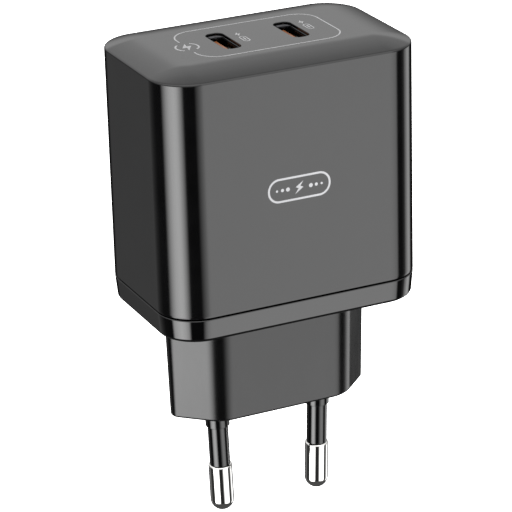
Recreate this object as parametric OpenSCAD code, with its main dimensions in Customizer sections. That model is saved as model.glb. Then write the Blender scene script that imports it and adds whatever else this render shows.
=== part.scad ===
// USB wall charger with a two-pin Europlug block and two USB-C ports.
// The origin is the centre of the plug face, between the pins; +Z points away
// from the wall, towards the ports, and the pins point along -Z.

/* [Body] */
// Width of the housing across the wide face
body_w = 45; // [44.6:0.1:47]
// Depth of the housing from front face to back face
body_d = 29.4; // [29.2:0.1:31]
// Radius of the four upright corners
body_r = 6.7; // [6:0.1:6.8]
// Height of the parting line above the plug face
part_z = 22.6; // [22.4:0.1:23]
// Height of the top outline above the plug face
edge_z = 61.45; // [61:0.05:64]
// How far the top swells above its outline
crown = 1.25; // [0.8:0.05:1.8]
// Wall thickness of the housing
wall = 2; // [1.8:0.1:2]
// Width of the groove along the parting line
groove = 0.24; // [0.1:0.02:0.4]

/* [Base ring] */
// Height of the ring's underside above the plug face
ring_z = 18.6; // [18.4:0.1:19]
// How far each side of the ring tapers in towards the plug
ring_draft = 0.3; // [0.2:0.1:0.6]
// Thickness of the floor behind the ring
floor_t = 2; // [1.8:0.1:2]

/* [Plug block] */
// Width of the plug face from tip to tip
plug_w = 35.2; // [34.8:0.1:36]
// Depth of the plug face
plug_d = 13; // [12.8:0.1:13.9]
// Half length of the flat front of the plug face
plug_flat = 11.3; // [11:0.1:12]
// How much wider each side is where the block meets the ring
plug_draft = 0.42; // [0.2:0.02:0.5]
// Wall thickness of the block
plug_wall = 1.8; // [1.6:0.1:2]

/* [Pins] */
// Diameter of the metal pin ends
pin_d = 4; // [3.94:0.02:4.06]
// Length of the pins from the plug face
pin_len = 19; // [18.5:0.1:19.5]
// Distance between the pin axes at the plug face
pin_pitch_face = 18.6; // [18:0.1:19.2]
// Distance between the pin axes at the pin ends
pin_pitch_tip = 17.5; // [17:0.1:18]
// Length of pin covered by the insulating sleeve
sleeve_len = 10.5; // [10:0.1:11]
// Diameter of the thin part of the sleeve
sleeve_d = 3.45; // [3.3:0.05:3.8]
// Diameter of the sleeve's collar at the plug face
collar_d = 4.04; // [3.9:0.02:4.06]
// Length of the collar below the plug face
collar_len = 3.35; // [3:0.05:4.5]

/* [Ports] */
// Distance between the centres of the two ports
port_pitch = 11.9; // [11.8:0.1:13]
// Long side of the port opening
port_l = 8.34; // [8.3:0.02:8.4]
// Short side of the port opening
port_h = 2.56; // [2.54:0.02:2.6]
// Thickness of the metal shell around a port
port_shell = 0.3; // [0.2:0.05:0.35]

/* [Hidden] */
$fn = 64;

in_x = body_w / 2 - wall;             // inner half width of the housing
in_y = body_d / 2 - wall;             // inner half depth of the housing
top_z = edge_z + crown;               // flat middle of the crowned top
ceil_z = edge_z - 0.6;                // ceiling inside the housing
floor_z = ring_z + floor_t;           // floor inside the base cover
lip_z = part_z + 3;                   // top of the base cover's tongue
pin_tilt = asin((pin_pitch_face - pin_pitch_tip) / 2 / pin_len);
board_y = in_y - 3.8;                 // front face of the upright board
board_t = 1.2;
port_board_z = ceil_z - 8.5;          // underside of the port board
port_board_t = 1.1;
port_z = port_board_z + port_board_t; // where the ports stand
mouth_z = top_z - 0.12;               // rim of the port shells
tx = [-5, board_y - 8.1, port_board_z - 10.1]; // middle of the transformer
cap_x = 14.2;                         // bulk capacitors, beside it
cap_y = [board_y - 15.7, board_y - 5.4];
cap_z = [floor_z + 3.2, port_board_z - 6.8];

// ---- outlines -------------------------------------------------------------

function unit(v) = v / norm(v);
function edge_dir(p, i) = unit(p[(i + 1) % len(p)] - p[i]);
function edge_angle(p, i) = let (t = edge_dir(p, i)) atan2(t[1], t[0]);
function prev(p, i) = (i + len(p) - 1) % len(p);
// turn at corner i, in degrees
function turn(p, i) = let (a = edge_dir(p, prev(p, i)), b = edge_dir(p, i))
    atan2(a[0] * b[1] - a[1] * b[0], a[0] * b[0] + a[1] * b[1]);
// the outline moved outwards by d, corners kept sharp
function grow(p, d) = [for (i = [0 : len(p) - 1])
    let (a = edge_dir(p, prev(p, i)), b = edge_dir(p, i),
         m = [a[1], -a[0]], n = [b[1], -b[0]])
    p[i] + d * (m + n) / (1 + m * n)];
function rect(w, d) = [[w / 2, -d / 2], [w / 2, d / 2], [-w / 2, d / 2], [-w / 2, -d / 2]];

// moves by p, in a coarse and a fine step, so that no digits are lost
module put(p) {
    coarse = [for (v = p) round(v * 10) / 10];
    translate([coarse[0], coarse[1], 0]) translate([p[0] - coarse[0], p[1] - coarse[1], 0]) children();
}

// A closed band that follows a convex outline with rounded corners. Each
// profile point is [distance in from the outline, height], and no deeper than
// the smallest corner radius, so every corner is a true surface of revolution.
// A straight side is made as two halves that meet in its middle.
module band(outline, radii, profile) {
    n = len(outline);
    for (i = [0 : n - 1]) {
        r = radii[i];
        a = edge_angle(outline, prev(outline, i));
        cut = r * tan(turn(outline, i) / 2);
        c = outline[i] - cut * [cos(a), sin(a)] + r * [-sin(a), cos(a)];
        put(c) rotate([0, 0, a - 90])
            rotate_extrude(angle = turn(outline, i))
                polygon([for (q = profile) [r - q[0], q[1]]]);
        b = edge_angle(outline, i);
        j = (i + 1) % n;
        cut2 = radii[j] * tan(turn(outline, j) / 2);
        half = (norm(outline[j] - outline[i]) - cut - cut2) / 2;
        put(outline[i] + (cut + half) * [cos(b), sin(b)]) rotate([90, 0, b + 90])
            for (z = [-half, 0]) translate([0, 0, z]) linear_extrude(half) polygon(profile);
    }
}

// flat rounded rectangle, drawn from squares and true circles
module round_rect(w, d, r) {
    square([w - 2 * r, d], center = true);
    square([w, d - 2 * r], center = true);
    for (x = [-1, 1], y = [-1, 1])
        translate([x * (w / 2 - r), y * (d / 2 - r)]) circle(r);
}

// a block between two opposite corners
module block(a, b) translate(a) cube(b - a);

// ---- housing --------------------------------------------------------------

dome_n = 9;
function dome(u) = crown * (1 - pow(1 - u / body_r, 2));
housing_profile = concat(
    [[0.12, part_z + groove / 2], [0, part_z + groove / 2 + 0.14], [0, edge_z - 0.12],
     [0.04, edge_z - 0.03]],
    [for (i = [1 : dome_n]) let (u = 0.25 + (body_r - 0.25) * i / dome_n) [u, edge_z + dome(u)]],
    [[body_r, ceil_z], [wall, ceil_z], [wall, lip_z], [1, lip_z], [1, part_z + groove / 2]]
);

module housing() {
    mx = body_w / 2 - body_r;
    my = body_d / 2 - body_r;
    color("#343436") difference() {
        union() {
            band(rect(body_w, body_d), [for (i = [0 : 3]) body_r], housing_profile);
            block([-mx, -my, ceil_z], [mx, my, top_z]);
            // grooves that hold the upright board's edges
            for (s = [-1, 1], y = [board_y - 1.05, board_y + board_t + 0.05])
                block([s > 0 ? in_x - 1.5 : -in_x - 0.5, y, lip_z + 1.5],
                      [s > 0 ? in_x + 0.5 : -in_x + 1.5, y + 1, port_board_z - 0.4]);
            // posts that press on the port board
            for (x = [-1, 1], y = [-1, 1])
                translate([x * (in_x - 4), y * (in_y - 4.2), port_z]) cylinder(r = 1.2, h = ceil_z - port_z + 0.5);
        }
        for (s = [-1, 1])
            translate([s * port_pitch / 2, 0, ceil_z - 1]) linear_extrude(5)
                round_rect(port_h + 2 * port_shell + 0.1, port_l + 2 * port_shell + 0.1, 1.33);
    }
}

// ---- base cover: ring, floor and plug block --------------------------------

base_profile = [
    [ring_draft + 0.4, ring_z], [ring_draft + 0.12, ring_z + 0.12], [ring_draft, ring_z + 0.4],
    [0.02, part_z - groove / 2 - 0.16], [0.16, part_z - groove / 2],
    [1.05, part_z - groove / 2], [1.05, lip_z], [wall, lip_z], [wall, floor_z],
    [body_r, floor_z], [body_r, ring_z]
];
tip_r = 1.8;    // rounding of the block's narrow ends, at the plug face
front_r = 5.8;  // rounding of its front and back corners, at the plug face
plug_face = let (x = plug_w / 2 + 0.65, y = plug_d / 2)
    [[x, 0], [plug_flat, y], [-plug_flat, y], [-x, 0], [-plug_flat, -y], [plug_flat, -y]];
plug_profile = [
    [plug_draft + 0.35, 0], [plug_draft + 0.2, 0.04], [plug_draft + 0.07, 0.14], [plug_draft, 0.35],
    [0, ring_z], [0, ring_z + 0.5], [1.5, ring_z + 0.5], [1.5, 0]
];

// runs its children at a pin, along the pin's own leaning axis
module at_pin(s) translate([s * pin_pitch_face / 2, 0, 0]) rotate([0, s * pin_tilt, 0]) children();

boss_h = 9;
module base_cover() {
    mx = body_w / 2 - body_r;
    my = body_d / 2 - body_r;
    rr = [tip_r, front_r, front_r, tip_r, front_r, front_r];
    color("#2a2a2c") difference() {
        union() {
            difference() {
                union() {
                    band(rect(body_w, body_d), [for (i = [0 : 3]) body_r], base_profile);
                    block([-mx, -my, ring_z], [mx, my, floor_z]);
                    band(grow(plug_face, plug_draft), [for (r = rr) r + plug_draft], plug_profile);
                    linear_extrude(ring_z + 0.5) polygon(grow(plug_face, plug_draft - 1.38));
                }
                translate([0, 0, 2.4]) linear_extrude(floor_z) polygon(grow(plug_face, -plug_wall));
            }
            for (s = [-1, 1]) at_pin(s) translate([0, 0, 1]) cylinder(r = 3.4, h = boss_h - 1);
            // shelves for the pin holder
            for (s = [-1, 1]) block([s * 3 - 1.2, -plug_d / 2 + 1, 1], [s * 3 + 1.2, plug_d / 2 - 1, boss_h + 0.9]);
        }
        for (s = [-1, 1]) at_pin(s) {
            translate([0, 0, -1]) cylinder(d = collar_d + 0.26, h = 1.5);
            translate([0, 0, -1]) cylinder(d = collar_d + 0.04, h = 5);
            translate([0, 0, -1]) cylinder(r = 1.52, h = boss_h + 3);
        }
    }
}

// ---- pins -----------------------------------------------------------------

module pin(s) {
    r = pin_d / 2;
    color("#d9dadc") at_pin(s) rotate_extrude() union() {
        translate([0, -pin_len + r]) intersection() {
            circle(r);
            translate([0, -r]) square([r, r]);
        }
        polygon([
            [0, -pin_len + r], [r, -pin_len + r], [r, -sleeve_len - 0.3], [r - 0.09, -sleeve_len - 0.1],
            [r - 0.3, -sleeve_len], [1.5, -sleeve_len], [1.5, boss_h + 0.02], [2.6, boss_h + 0.02],
            [2.6, boss_h + 0.8], [1.2, boss_h + 0.8], [1.2, boss_h + 4.1], [0.9, boss_h + 4.4], [0, boss_h + 4.4]
        ]);
    }
}
module pin_left() pin(-1);
module pin_right() pin(1);

module pin_sleeve(s) {
    color("#1b1b1c") at_pin(s) rotate_extrude() polygon([
        [1.52, -sleeve_len + 0.01], [sleeve_d / 2, -sleeve_len + 0.01], [sleeve_d / 2, -collar_len],
        [collar_d / 2 - 0.08, -collar_len], [collar_d / 2, -collar_len + 0.08], [collar_d / 2, 3.95], [1.52, 3.95]
    ]);
}
module pin_sleeve_left() pin_sleeve(-1);
module pin_sleeve_right() pin_sleeve(1);

// plate across the block that keeps both pins down on their bosses
module pin_holder() {
    color("#e6e4dc") difference() {
        translate([0, 0, boss_h + 0.9]) linear_extrude(1.5) intersection() {
            polygon(grow(plug_face, -plug_wall - 0.2));
            square([27.6, 7.2], center = true);
        }
        for (s = [-1, 1]) at_pin(s) {
            translate([0, 0, boss_h]) cylinder(r = 1.4, h = 4);
            translate([0, 0, boss_h]) cylinder(r = 2.75, h = 1);
        }
    }
}

// brass strip from a pin's tail up to the foot of the upright board
module contact_spring(s) {
    x = s * (pin_pitch_face / 2 + (boss_h + 2.6) * tan(pin_tilt));
    z = boss_h + 2.4;
    color("#c9a64a") difference() {
        union() {
            translate([x, 0, z]) cylinder(r = 2.3, h = 0.4);
            block([x - 1.5, 0, z], [x + 1.5, 2.8, z + 0.4]);
            block([x - 1.5, 2.4, z], [x + 1.5, 2.8, floor_z + 0.5]);
            block([x - 1.5, 2.4, floor_z + 0.1], [x + 1.5, board_y, floor_z + 0.5]);
            block([x - 1.5, board_y - 0.4, floor_z + 0.1], [x + 1.5, board_y, floor_z + 3]);
        }
        translate([x, 0, z - 1]) cylinder(r = 1.3, h = 3);
    }
}
module contact_spring_left() contact_spring(-1);
module contact_spring_right() contact_spring(1);

// ---- ports ----------------------------------------------------------------

module at_port(s) translate([s * port_pitch / 2, 0, 0]) children();
leg_y = 3.1;

module usb_c_shell(s) {
    color("#b9babc") at_port(s) {
        translate([0, 0, port_z]) linear_extrude(mouth_z - port_z) difference() {
            round_rect(port_h + 2 * port_shell, port_l + 2 * port_shell, 1.28);
            round_rect(port_h, port_l, 0.98);
        }
        for (x = [-1, 1], y = [-1, 1])
            translate([x * (port_h + port_shell) / 2 - port_shell / 2, y * leg_y - 0.5, port_board_z - 0.8])
                cube([port_shell, 1, port_z - port_board_z + 1.8]);
    }
}
module usb_c_shell_left() usb_c_shell(-1);
module usb_c_shell_right() usb_c_shell(1);

tongue_t = 0.7;
tongue_w = 6.69;
tongue_z = mouth_z - 0.95;
module usb_c_tongue(s) {
    color("#8a4a1e") at_port(s) {
        translate([0, 0, port_z]) linear_extrude(3.6) round_rect(port_h - 0.04, port_l - 0.04, 0.96);
        block([-0.65, -3.6, port_z + 3], [0.65, 3.6, port_z + 4.9]);
        block([-tongue_t / 2, -tongue_w / 2, port_z + 3], [tongue_t / 2, tongue_w / 2, tongue_z]);
    }
}
module usb_c_tongue_left() usb_c_tongue(-1);
module usb_c_tongue_right() usb_c_tongue(1);

module usb_c_contacts(s) {
    color("#d8b04c") at_port(s) for (side = [0, 1], i = [0 : 11])
        translate([side ? tongue_t / 2 : -tongue_t / 2 - 0.06, (i - 5.5) * 0.5 - 0.13, port_z + 4.9])
            cube([0.06, 0.26, tongue_z - port_z - 5.3]);
}
module usb_c_contacts_left() usb_c_contacts(-1);
module usb_c_contacts_right() usb_c_contacts(1);

// ---- boards ---------------------------------------------------------------

tab_x = 11.5;
module port_board() {
    color("#1f5a34") difference() {
        block([-in_x + 1.9, -in_y + 1.1, port_board_z], [in_x - 1.9, in_y - 1.1, port_z]);
        for (s = [-1, 1]) {
            block([s * tab_x - 1.6, board_y - 0.1, port_board_z - 1], [s * tab_x + 1.6, board_y + board_t + 0.1, port_z + 1]);
            at_port(s) for (x = [-1, 1], y = [-1, 1])
                translate([x * (port_h + port_shell) / 2 - 0.35, y * leg_y - 0.7, port_board_z - 1]) cube([0.7, 1.4, 4]);
        }
    }
}

module main_board() {
    color("#1f5a34") {
        block([-in_x + 0.9, board_y, floor_z], [in_x - 0.9, board_y + board_t, port_board_z]);
        for (s = [-1, 1]) block([s * tab_x - 1.5, board_y, port_board_z - 1], [s * tab_x + 1.5, board_y + board_t, port_z + 1]);
    }
}

// ---- transformer ----------------------------------------------------------

// runs its children at the middle of the transformer, with +Z along its bore
module at_transformer() translate(tx) rotate([90, 0, 0]) children();

core_half = 7.5;
module transformer_core() {
    color("#3a3a3d") at_transformer() for (s = [0, 1]) mirror([0, 0, s]) {
        block([-10, -7, core_half - 2.6], [10, 7, core_half]);
        translate([0, 0, 0.02]) cylinder(r = 4, h = core_half - 1);
        difference() {
            for (x = [0, 1]) mirror([x, 0, 0]) block([7.4, -7, 0.02], [10, 7, core_half - 1]);
            translate([0, 0, -1]) cylinder(r = 7.9, h = core_half - 1.6);
        }
    }
}

module transformer_bobbin() {
    color("#20201f") at_transformer() {
        difference() {
            union() {
                translate([0, 0, -4.85]) cylinder(r = 5, h = 9.7);
                translate([0, 0, 4.2]) cylinder(r = 7.6, h = 0.65);
                translate([0, 0, -4.85]) cylinder(r = 7.6, h = 1);
                block([-5, -8, -4.85], [5, 8, -3.85]);
            }
            translate([0, 0, -6]) cylinder(r = 4.15, h = 12);
        }
        for (x = [-4, 0, 4], y = [-7.6, 7.6])
            translate([x, y, -8.1]) cylinder(r = 0.35, h = 3.6);
    }
}

module transformer_winding() {
    color("#b5652a") at_transformer() translate([0, 0, -3.85]) difference() {
        cylinder(r = 7.2, h = 8.05);
        translate([0, 0, -1]) cylinder(r = 5, h = 11);
    }
}

module transformer_tape() {
    color("#e2b62f") at_transformer() translate([0, 0, -3.6]) difference() {
        cylinder(r = 7.5, h = 7.5);
        translate([0, 0, -1]) cylinder(r = 7.2, h = 11);
    }
}

// ---- capacitors -----------------------------------------------------------

bung = 1.6;
module bulk_capacitor_cans() {
    h = cap_z[1] - cap_z[0];
    color("#26324f") for (y = cap_y) translate([cap_x, y, cap_z[0]]) rotate_extrude() polygon([
        [0, bung], [4.6, bung], [4.6, 0], [5, 0], [5, 1], [4.75, 1.3], [4.75, 1.6], [5, 1.9],
        [5, h - 0.4], [4.6, h], [0, h]
    ]);
}
module bulk_capacitor_seals() {
    color("#18181a") for (y = cap_y) translate([cap_x, y, cap_z[0]]) difference() {
        cylinder(r = 4.6, h = bung);
        for (x = [-2.5, 2.5]) translate([x, 0, -1]) cylinder(r = 0.32, h = 4);
    }
}
module bulk_capacitor_leads() {
    color("#c8c9cb") for (i = [0, 1], x = [-2.5, 2.5]) {
        z = cap_z[0] - (i == 0 ? 2 : 0.8);
        translate([cap_x + x, cap_y[i], z]) cylinder(r = 0.3, h = cap_z[0] + bung - z - 0.01);
        translate([cap_x + x, cap_y[i], z]) rotate([-90, 0, 0]) cylinder(r = 0.3, h = board_y - cap_y[i]);
        translate([cap_x + x, cap_y[i], z]) sphere(r = 0.3);
    }
}

module output_capacitors() {
    color("#c9cacc") for (y = cap_y) translate([cap_x, y, port_board_z]) mirror([0, 0, 1]) rotate_extrude() polygon([
        [0, 0], [3.15, 0], [3.15, 1], [2.95, 1.25], [2.95, 1.5], [3.15, 1.75], [3.15, 5.9], [2.85, 6.2], [0, 6.2]
    ]);
}

module x_capacitor() {
    color("#d6b63c") block([-5.6, board_y - 5.2, floor_z + 0.8], [7.2, board_y, floor_z + 11.8]);
}

module y_capacitor() {
    color("#3d7bb5") translate([5.6, board_y - 4.3, floor_z + 19.2]) rotate([0, 90, 0]) rotate_extrude() polygon([
        [0, 0], [3.4, 0], [4, 0.7], [4, 2.3], [3.4, 3], [0, 3]
    ]);
    color("#3d7bb5") for (z = [-2.5, 2.5])
        translate([7.1, board_y - 4.3, floor_z + 19.2 + z]) rotate([-90, 0, 0]) cylinder(r = 0.3, h = 4.3);
}

// ---- choke, fuse and thermistor -------------------------------------------

choke_at = [-13, board_y - 7.1, floor_z + 7.2];
module choke_core() {
    color("#2f6b45") translate(choke_at) rotate([90, 0, 0]) rotate_extrude() polygon([
        [2.8, -2.3], [3, -2.5], [5.3, -2.5], [5.5, -2.3], [5.5, 2.3], [5.3, 2.5], [3, 2.5], [2.8, 2.3]
    ]);
}

// one square turn of wire around the ring's section
module choke_turn() translate([4.15, 0, 0]) rotate([90, 0, 0]) linear_extrude(0.8, center = true) difference() {
    square([4.3, 6.6], center = true);
    square([2.86, 5.06], center = true);
}
module choke_windings() {
    color("#b5652a") translate(choke_at) rotate([90, 0, 0])
        for (s = [0, 180], a = [-60 : 24 : 60]) rotate([0, 0, s + a]) choke_turn();
}

fuse_at = [-17.2, board_y - 2, port_board_z - 11.4];
module fuse() {
    color("#6e4a2e") translate(fuse_at) {
        translate([0, 0, -4]) cylinder(r = 1.8, h = 8);
        for (s = [-1, 1]) {
            translate([0, 0, s > 0 ? 3.5 : -4.8]) cylinder(r = 0.3, h = 1.3);
            translate([0, 0, s * 4.8]) rotate([-90, 0, 0]) cylinder(r = 0.3, h = 2);
        }
    }
}

module thermistor() {
    color("#2e6f4e") translate([5.7, board_y - 3.6, port_board_z - 4]) rotate([0, 90, 0]) rotate_extrude() polygon([
        [0, 0], [2.9, 0], [3.4, 0.6], [3.4, 2], [2.9, 2.6], [0, 2.6]
    ]);
    color("#2e6f4e") for (z = [-2, 2])
        translate([7, board_y - 3.6, port_board_z - 4 + z]) rotate([-90, 0, 0]) cylinder(r = 0.3, h = 3.6);
}

// ---- surface-mounted parts ------------------------------------------------

back_y = board_y + board_t;

module bridge_rectifier() {
    color("#202124") block([-16, back_y, floor_z + 3.2], [-9.6, back_y + 1.4, floor_z + 11.2]);
    color("#202124") for (x = [-15, -10.6], s = [0, 1])
        block([x - 0.5, back_y, floor_z + (s ? 11.2 : 2.4)], [x + 0.5, back_y + 0.3, floor_z + (s ? 12 : 3.2)]);
}

module power_ic() {
    color("#202124") block([-6, back_y, floor_z + 15.2], [2, back_y + 1, floor_z + 23.2]);
}

module sync_rectifier() {
    color("#202124") block([7, back_y, floor_z + 19.2], [12, back_y + 1, floor_z + 25.2]);
}

module protocol_ics() {
    color("#202124") for (s = [-1, 1])
        block([s * 12.4 - 2, -5, port_z], [s * 12.4 + 2, -1, port_z + 0.8]);
}

module buck_inductors() {
    color("#47484b") for (x = [-11.6, -2.9])
        difference() {
            block([x - 3.5, board_y - 20, port_board_z - 2.4], [x + 3.5, board_y - 13, port_board_z]);
            for (a = [-1, 1], b = [-1, 1])
                translate([x + a * 3.5, board_y - 16.5 + b * 3.5, port_board_z - 1.2])
                    rotate([0, 0, 45]) cube([0.9, 0.9, 4], center = true);
        }
}

module smd_parts() {
    color("#b79a6b") {
        for (i = [0 : 4]) block([-4 + i * 2.4, back_y, floor_z + 5], [-2.4 + i * 2.4, back_y + 0.7, floor_z + 5.9]);
        for (i = [0 : 3]) block([-13 + i * 0, back_y, floor_z + 17 + i * 2.2], [-11.4, back_y + 0.7, floor_z + 17.9 + i * 2.2]);
        for (y = [-4, 0, 4]) block([-1.6, y - 0.8, port_z], [1.6, y + 0.8, port_z + 1.2]);
    }
}

// ---- heat path ------------------------------------------------------------

pad_y = in_y - 0.7;
module thermal_pads() {
    color("#7f9bb0") {
        block([-5.8, back_y + 1, floor_z + 15.4], [1.8, pad_y, floor_z + 23]);
        block([7.2, back_y + 1, floor_z + 19.4], [11.8, pad_y, floor_z + 25]);
        block([-15.8, back_y + 1.4, floor_z + 3.4], [-9.8, pad_y, floor_z + 11]);
    }
}

module heat_spreader() {
    color("#b9bcc0") difference() {
        block([-15.9, pad_y, floor_z + 2], [15.9, pad_y + 0.4, port_board_z - 2]);
        for (x = [-13, 13]) translate([x, pad_y - 1, floor_z + 28]) rotate([-90, 0, 0]) cylinder(r = 1.2, h = 3);
    }
}

module insulating_sheet() {
    color("#e9e2c4") block([-16, pad_y + 0.4, floor_z + 0.4], [16, pad_y + 0.54, port_board_z - 0.5]);
}

// ---- assembly -------------------------------------------------------------

housing();
base_cover();
pin_left();
pin_right();
pin_sleeve_left();
pin_sleeve_right();
pin_holder();
contact_spring_left();
contact_spring_right();
usb_c_shell_left();
usb_c_shell_right();
usb_c_tongue_left();
usb_c_tongue_right();
usb_c_contacts_left();
usb_c_contacts_right();
port_board();
main_board();
transformer_core();
transformer_bobbin();
transformer_winding();
transformer_tape();
bulk_capacitor_cans();
bulk_capacitor_seals();
bulk_capacitor_leads();
choke_core();
choke_windings();
x_capacitor();
y_capacitor();
fuse();
thermistor();
bridge_rectifier();
power_ic();
sync_rectifier();
protocol_ics();
output_capacitors();
buck_inductors();
smd_parts();
thermal_pads();
heat_spreader();
insulating_sheet();
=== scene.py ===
import math

import bmesh
import bpy
from mathutils import Matrix, Vector


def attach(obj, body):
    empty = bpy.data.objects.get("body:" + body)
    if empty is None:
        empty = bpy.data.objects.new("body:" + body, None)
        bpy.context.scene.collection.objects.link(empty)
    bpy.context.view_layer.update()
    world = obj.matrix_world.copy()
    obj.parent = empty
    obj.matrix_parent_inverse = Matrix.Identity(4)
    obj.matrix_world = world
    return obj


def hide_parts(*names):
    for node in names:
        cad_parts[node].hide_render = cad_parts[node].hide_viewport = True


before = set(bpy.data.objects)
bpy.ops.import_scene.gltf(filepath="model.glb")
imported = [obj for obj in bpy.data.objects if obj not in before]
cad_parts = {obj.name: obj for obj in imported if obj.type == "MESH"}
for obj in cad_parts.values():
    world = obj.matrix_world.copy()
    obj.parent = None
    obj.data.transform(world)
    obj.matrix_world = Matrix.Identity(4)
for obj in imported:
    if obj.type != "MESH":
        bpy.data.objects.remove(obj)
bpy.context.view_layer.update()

MM = 0.001

# ---------------------------------------------------------------------------
# Dimensions, in millimetres, as the CAD model has them
# ---------------------------------------------------------------------------
BODY = (45.0, 29.4)
BODY_R = 6.7
PART_Z, GROOVE = 22.6, 0.24
EDGE_Z, CROWN = 61.45, 1.25
TOP_Z = EDGE_Z + CROWN
CEIL_Z = EDGE_Z - 0.6
WALL = 2.0
LIP_Z = PART_Z + 3.0
RING_Z, RING_DRAFT, FLOOR_Z = 18.6, 0.3, 20.6
PLUG_W, PLUG_D, PLUG_FLAT, PLUG_DRAFT, PLUG_WALL = 35.2, 13.0, 11.3, 0.42, 1.8
TIP_R, FRONT_R = 1.8, 5.8
PIN_R, PIN_LEN, SLEEVE_LEN, SLEEVE_R, COLLAR_R, COLLAR_LEN = 2.0, 19.0, 10.5, 1.725, 2.02, 3.35
PITCH_FACE, PITCH_TIP = 18.6, 17.5
TILT = math.asin((PITCH_FACE - PITCH_TIP) / 2 / PIN_LEN)
BOSS_H = 9.0
PORT_X, PORT_L, PORT_H, PORT_SHELL = 5.95, 8.34, 2.56, 0.3
PORT_BOARD_Z = CEIL_Z - 8.5
PORT_Z = PORT_BOARD_Z + 1.1
MOUTH_Z = TOP_Z - 0.12
BOARD_Y = BODY[1] / 2 - WALL - 3.8
INK = 0.015  # thickness of printed and inlaid marks, which the skin leaves room for


# ---------------------------------------------------------------------------
# Mesh helpers
# ---------------------------------------------------------------------------
def rect(w, d):
    return [(w / 2, -d / 2), (w / 2, d / 2), (-w / 2, d / 2), (-w / 2, -d / 2)]


def grow(p, d):
    out = []
    n = len(p)
    for i in range(n):
        a = Vector(p[i]) - Vector(p[i - 1])
        b = Vector(p[(i + 1) % n]) - Vector(p[i])
        a.normalize()
        b.normalize()
        m, q = Vector((a.y, -a.x)), Vector((b.y, -b.x))
        out.append(tuple(Vector(p[i]) + d * (m + q) / (1 + m.dot(q))))
    return out


def loop(outline, radii, u, seg):
    """The outline with rounded corners, moved in by u: seg + 1 points a corner."""
    n = len(outline)
    pts = []
    for i in range(n):
        p0, p1, p2 = Vector(outline[i - 1]), Vector(outline[i]), Vector(outline[(i + 1) % n])
        a = math.atan2(*reversed(p1 - p0))
        b = math.atan2(*reversed(p2 - p1))
        turn = (b - a) % (2 * math.pi)
        r = radii[i]
        cut = r * math.tan(turn / 2)
        c = p1 - cut * Vector((math.cos(a), math.sin(a))) + r * Vector((-math.sin(a), math.cos(a)))
        for j in range(seg + 1):
            t = a - math.pi / 2 + turn * j / seg
            pts.append((c.x + (r - u) * math.cos(t), c.y + (r - u) * math.sin(t)))
    return pts


def arc(cx, cz, r, a0, a1, n):
    """n + 1 points on a circle, angles in degrees."""
    return [
        (cx + r * math.cos(math.radians(a0 + (a1 - a0) * i / n)), cz + r * math.sin(math.radians(a0 + (a1 - a0) * i / n)))
        for i in range(n + 1)
    ]


def to_object(bm, name, smooth=30, weighted=True, merge=1e-8):
    bmesh.ops.remove_doubles(bm, verts=bm.verts, dist=merge)
    bmesh.ops.dissolve_degenerate(bm, dist=merge, edges=bm.edges)
    bmesh.ops.recalc_face_normals(bm, faces=bm.faces)
    me = bpy.data.meshes.new(name)
    bm.to_mesh(me)
    bm.free()
    ob = bpy.data.objects.new(name, me)
    bpy.context.scene.collection.objects.link(ob)
    if smooth:
        finish_shading(ob, smooth, weighted)
    return ob


def finish_shading(ob, smooth=30, weighted=True):
    me = ob.data
    me.polygons.foreach_set("use_smooth", [True] * len(me.polygons))
    me.set_sharp_from_angle(angle=math.radians(smooth))
    if weighted:
        mod = ob.modifiers.new("normals", "WEIGHTED_NORMAL")
        mod.mode = "FACE_AREA"
        mod.keep_sharp = True
        bake(ob)


def bake(ob):
    """Applies the object's modifiers."""
    dg = bpy.context.evaluated_depsgraph_get()
    dg.update()
    new = bpy.data.meshes.new_from_object(ob.evaluated_get(dg), preserve_all_data_layers=True, depsgraph=dg)
    old = ob.data
    ob.modifiers.clear()
    ob.data = new
    new.name = old.name
    bpy.data.meshes.remove(old)


def band_solid(name, outline, radii, profile, seg=20, closed=False):
    """A solid that follows an outline: profile is (inset, z) from bottom to top; closed joins the last loop to the first."""
    bm = bmesh.new()
    rows = []
    for u, z in profile:
        rows.append([bm.verts.new((x * MM, y * MM, z * MM)) for x, y in loop(outline, radii, u, seg)])
    n = len(rows[0])
    pairs = list(zip(rows, rows[1:]))
    if closed:
        pairs.append((rows[-1], rows[0]))
    for lo, hi in pairs:
        for i in range(n):
            j = (i + 1) % n
            bm.faces.new((lo[i], lo[j], hi[j], hi[i]))
    if not closed:
        bm.faces.new(list(reversed(rows[0])))
        bm.faces.new(rows[-1])
    return to_object(bm, name, smooth=0)


def lathe(name, profile, seg=96, matrix=None, closed=False, smooth=30):
    """A solid of revolution about Z: profile is (radius, z) from bottom to top, in millimetres."""
    bm = bmesh.new()
    add_lathe(bm, profile, seg, matrix, closed)
    return to_object(bm, name, smooth=smooth)


def add_lathe(bm, profile, seg=96, matrix=None, closed=False):
    rows = []
    for r, z in profile:
        if r < 1e-6:
            rows.append([bm.verts.new((0, 0, z * MM))])
        else:
            rows.append([
                bm.verts.new((r * MM * math.cos(2 * math.pi * i / seg), r * MM * math.sin(2 * math.pi * i / seg), z * MM))
                for i in range(seg)
            ])
    pairs = list(zip(rows, rows[1:]))
    if closed:
        pairs.append((rows[-1], rows[0]))
    for lo, hi in pairs:
        for i in range(seg):
            j = (i + 1) % seg
            if len(lo) == 1 and len(hi) == 1:
                continue
            if len(lo) == 1:
                bm.faces.new((lo[0], hi[j], hi[i]))
            elif len(hi) == 1:
                bm.faces.new((lo[i], lo[j], hi[0]))
            else:
                bm.faces.new((lo[i], lo[j], hi[j], hi[i]))
    if not closed:
        if len(rows[0]) > 1:
            bm.faces.new(list(reversed(rows[0])))
        if len(rows[-1]) > 1:
            bm.faces.new(rows[-1])
    if matrix is not None:
        done = [v for row in rows for v in row]
        bmesh.ops.transform(bm, matrix=matrix, verts=done)


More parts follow.
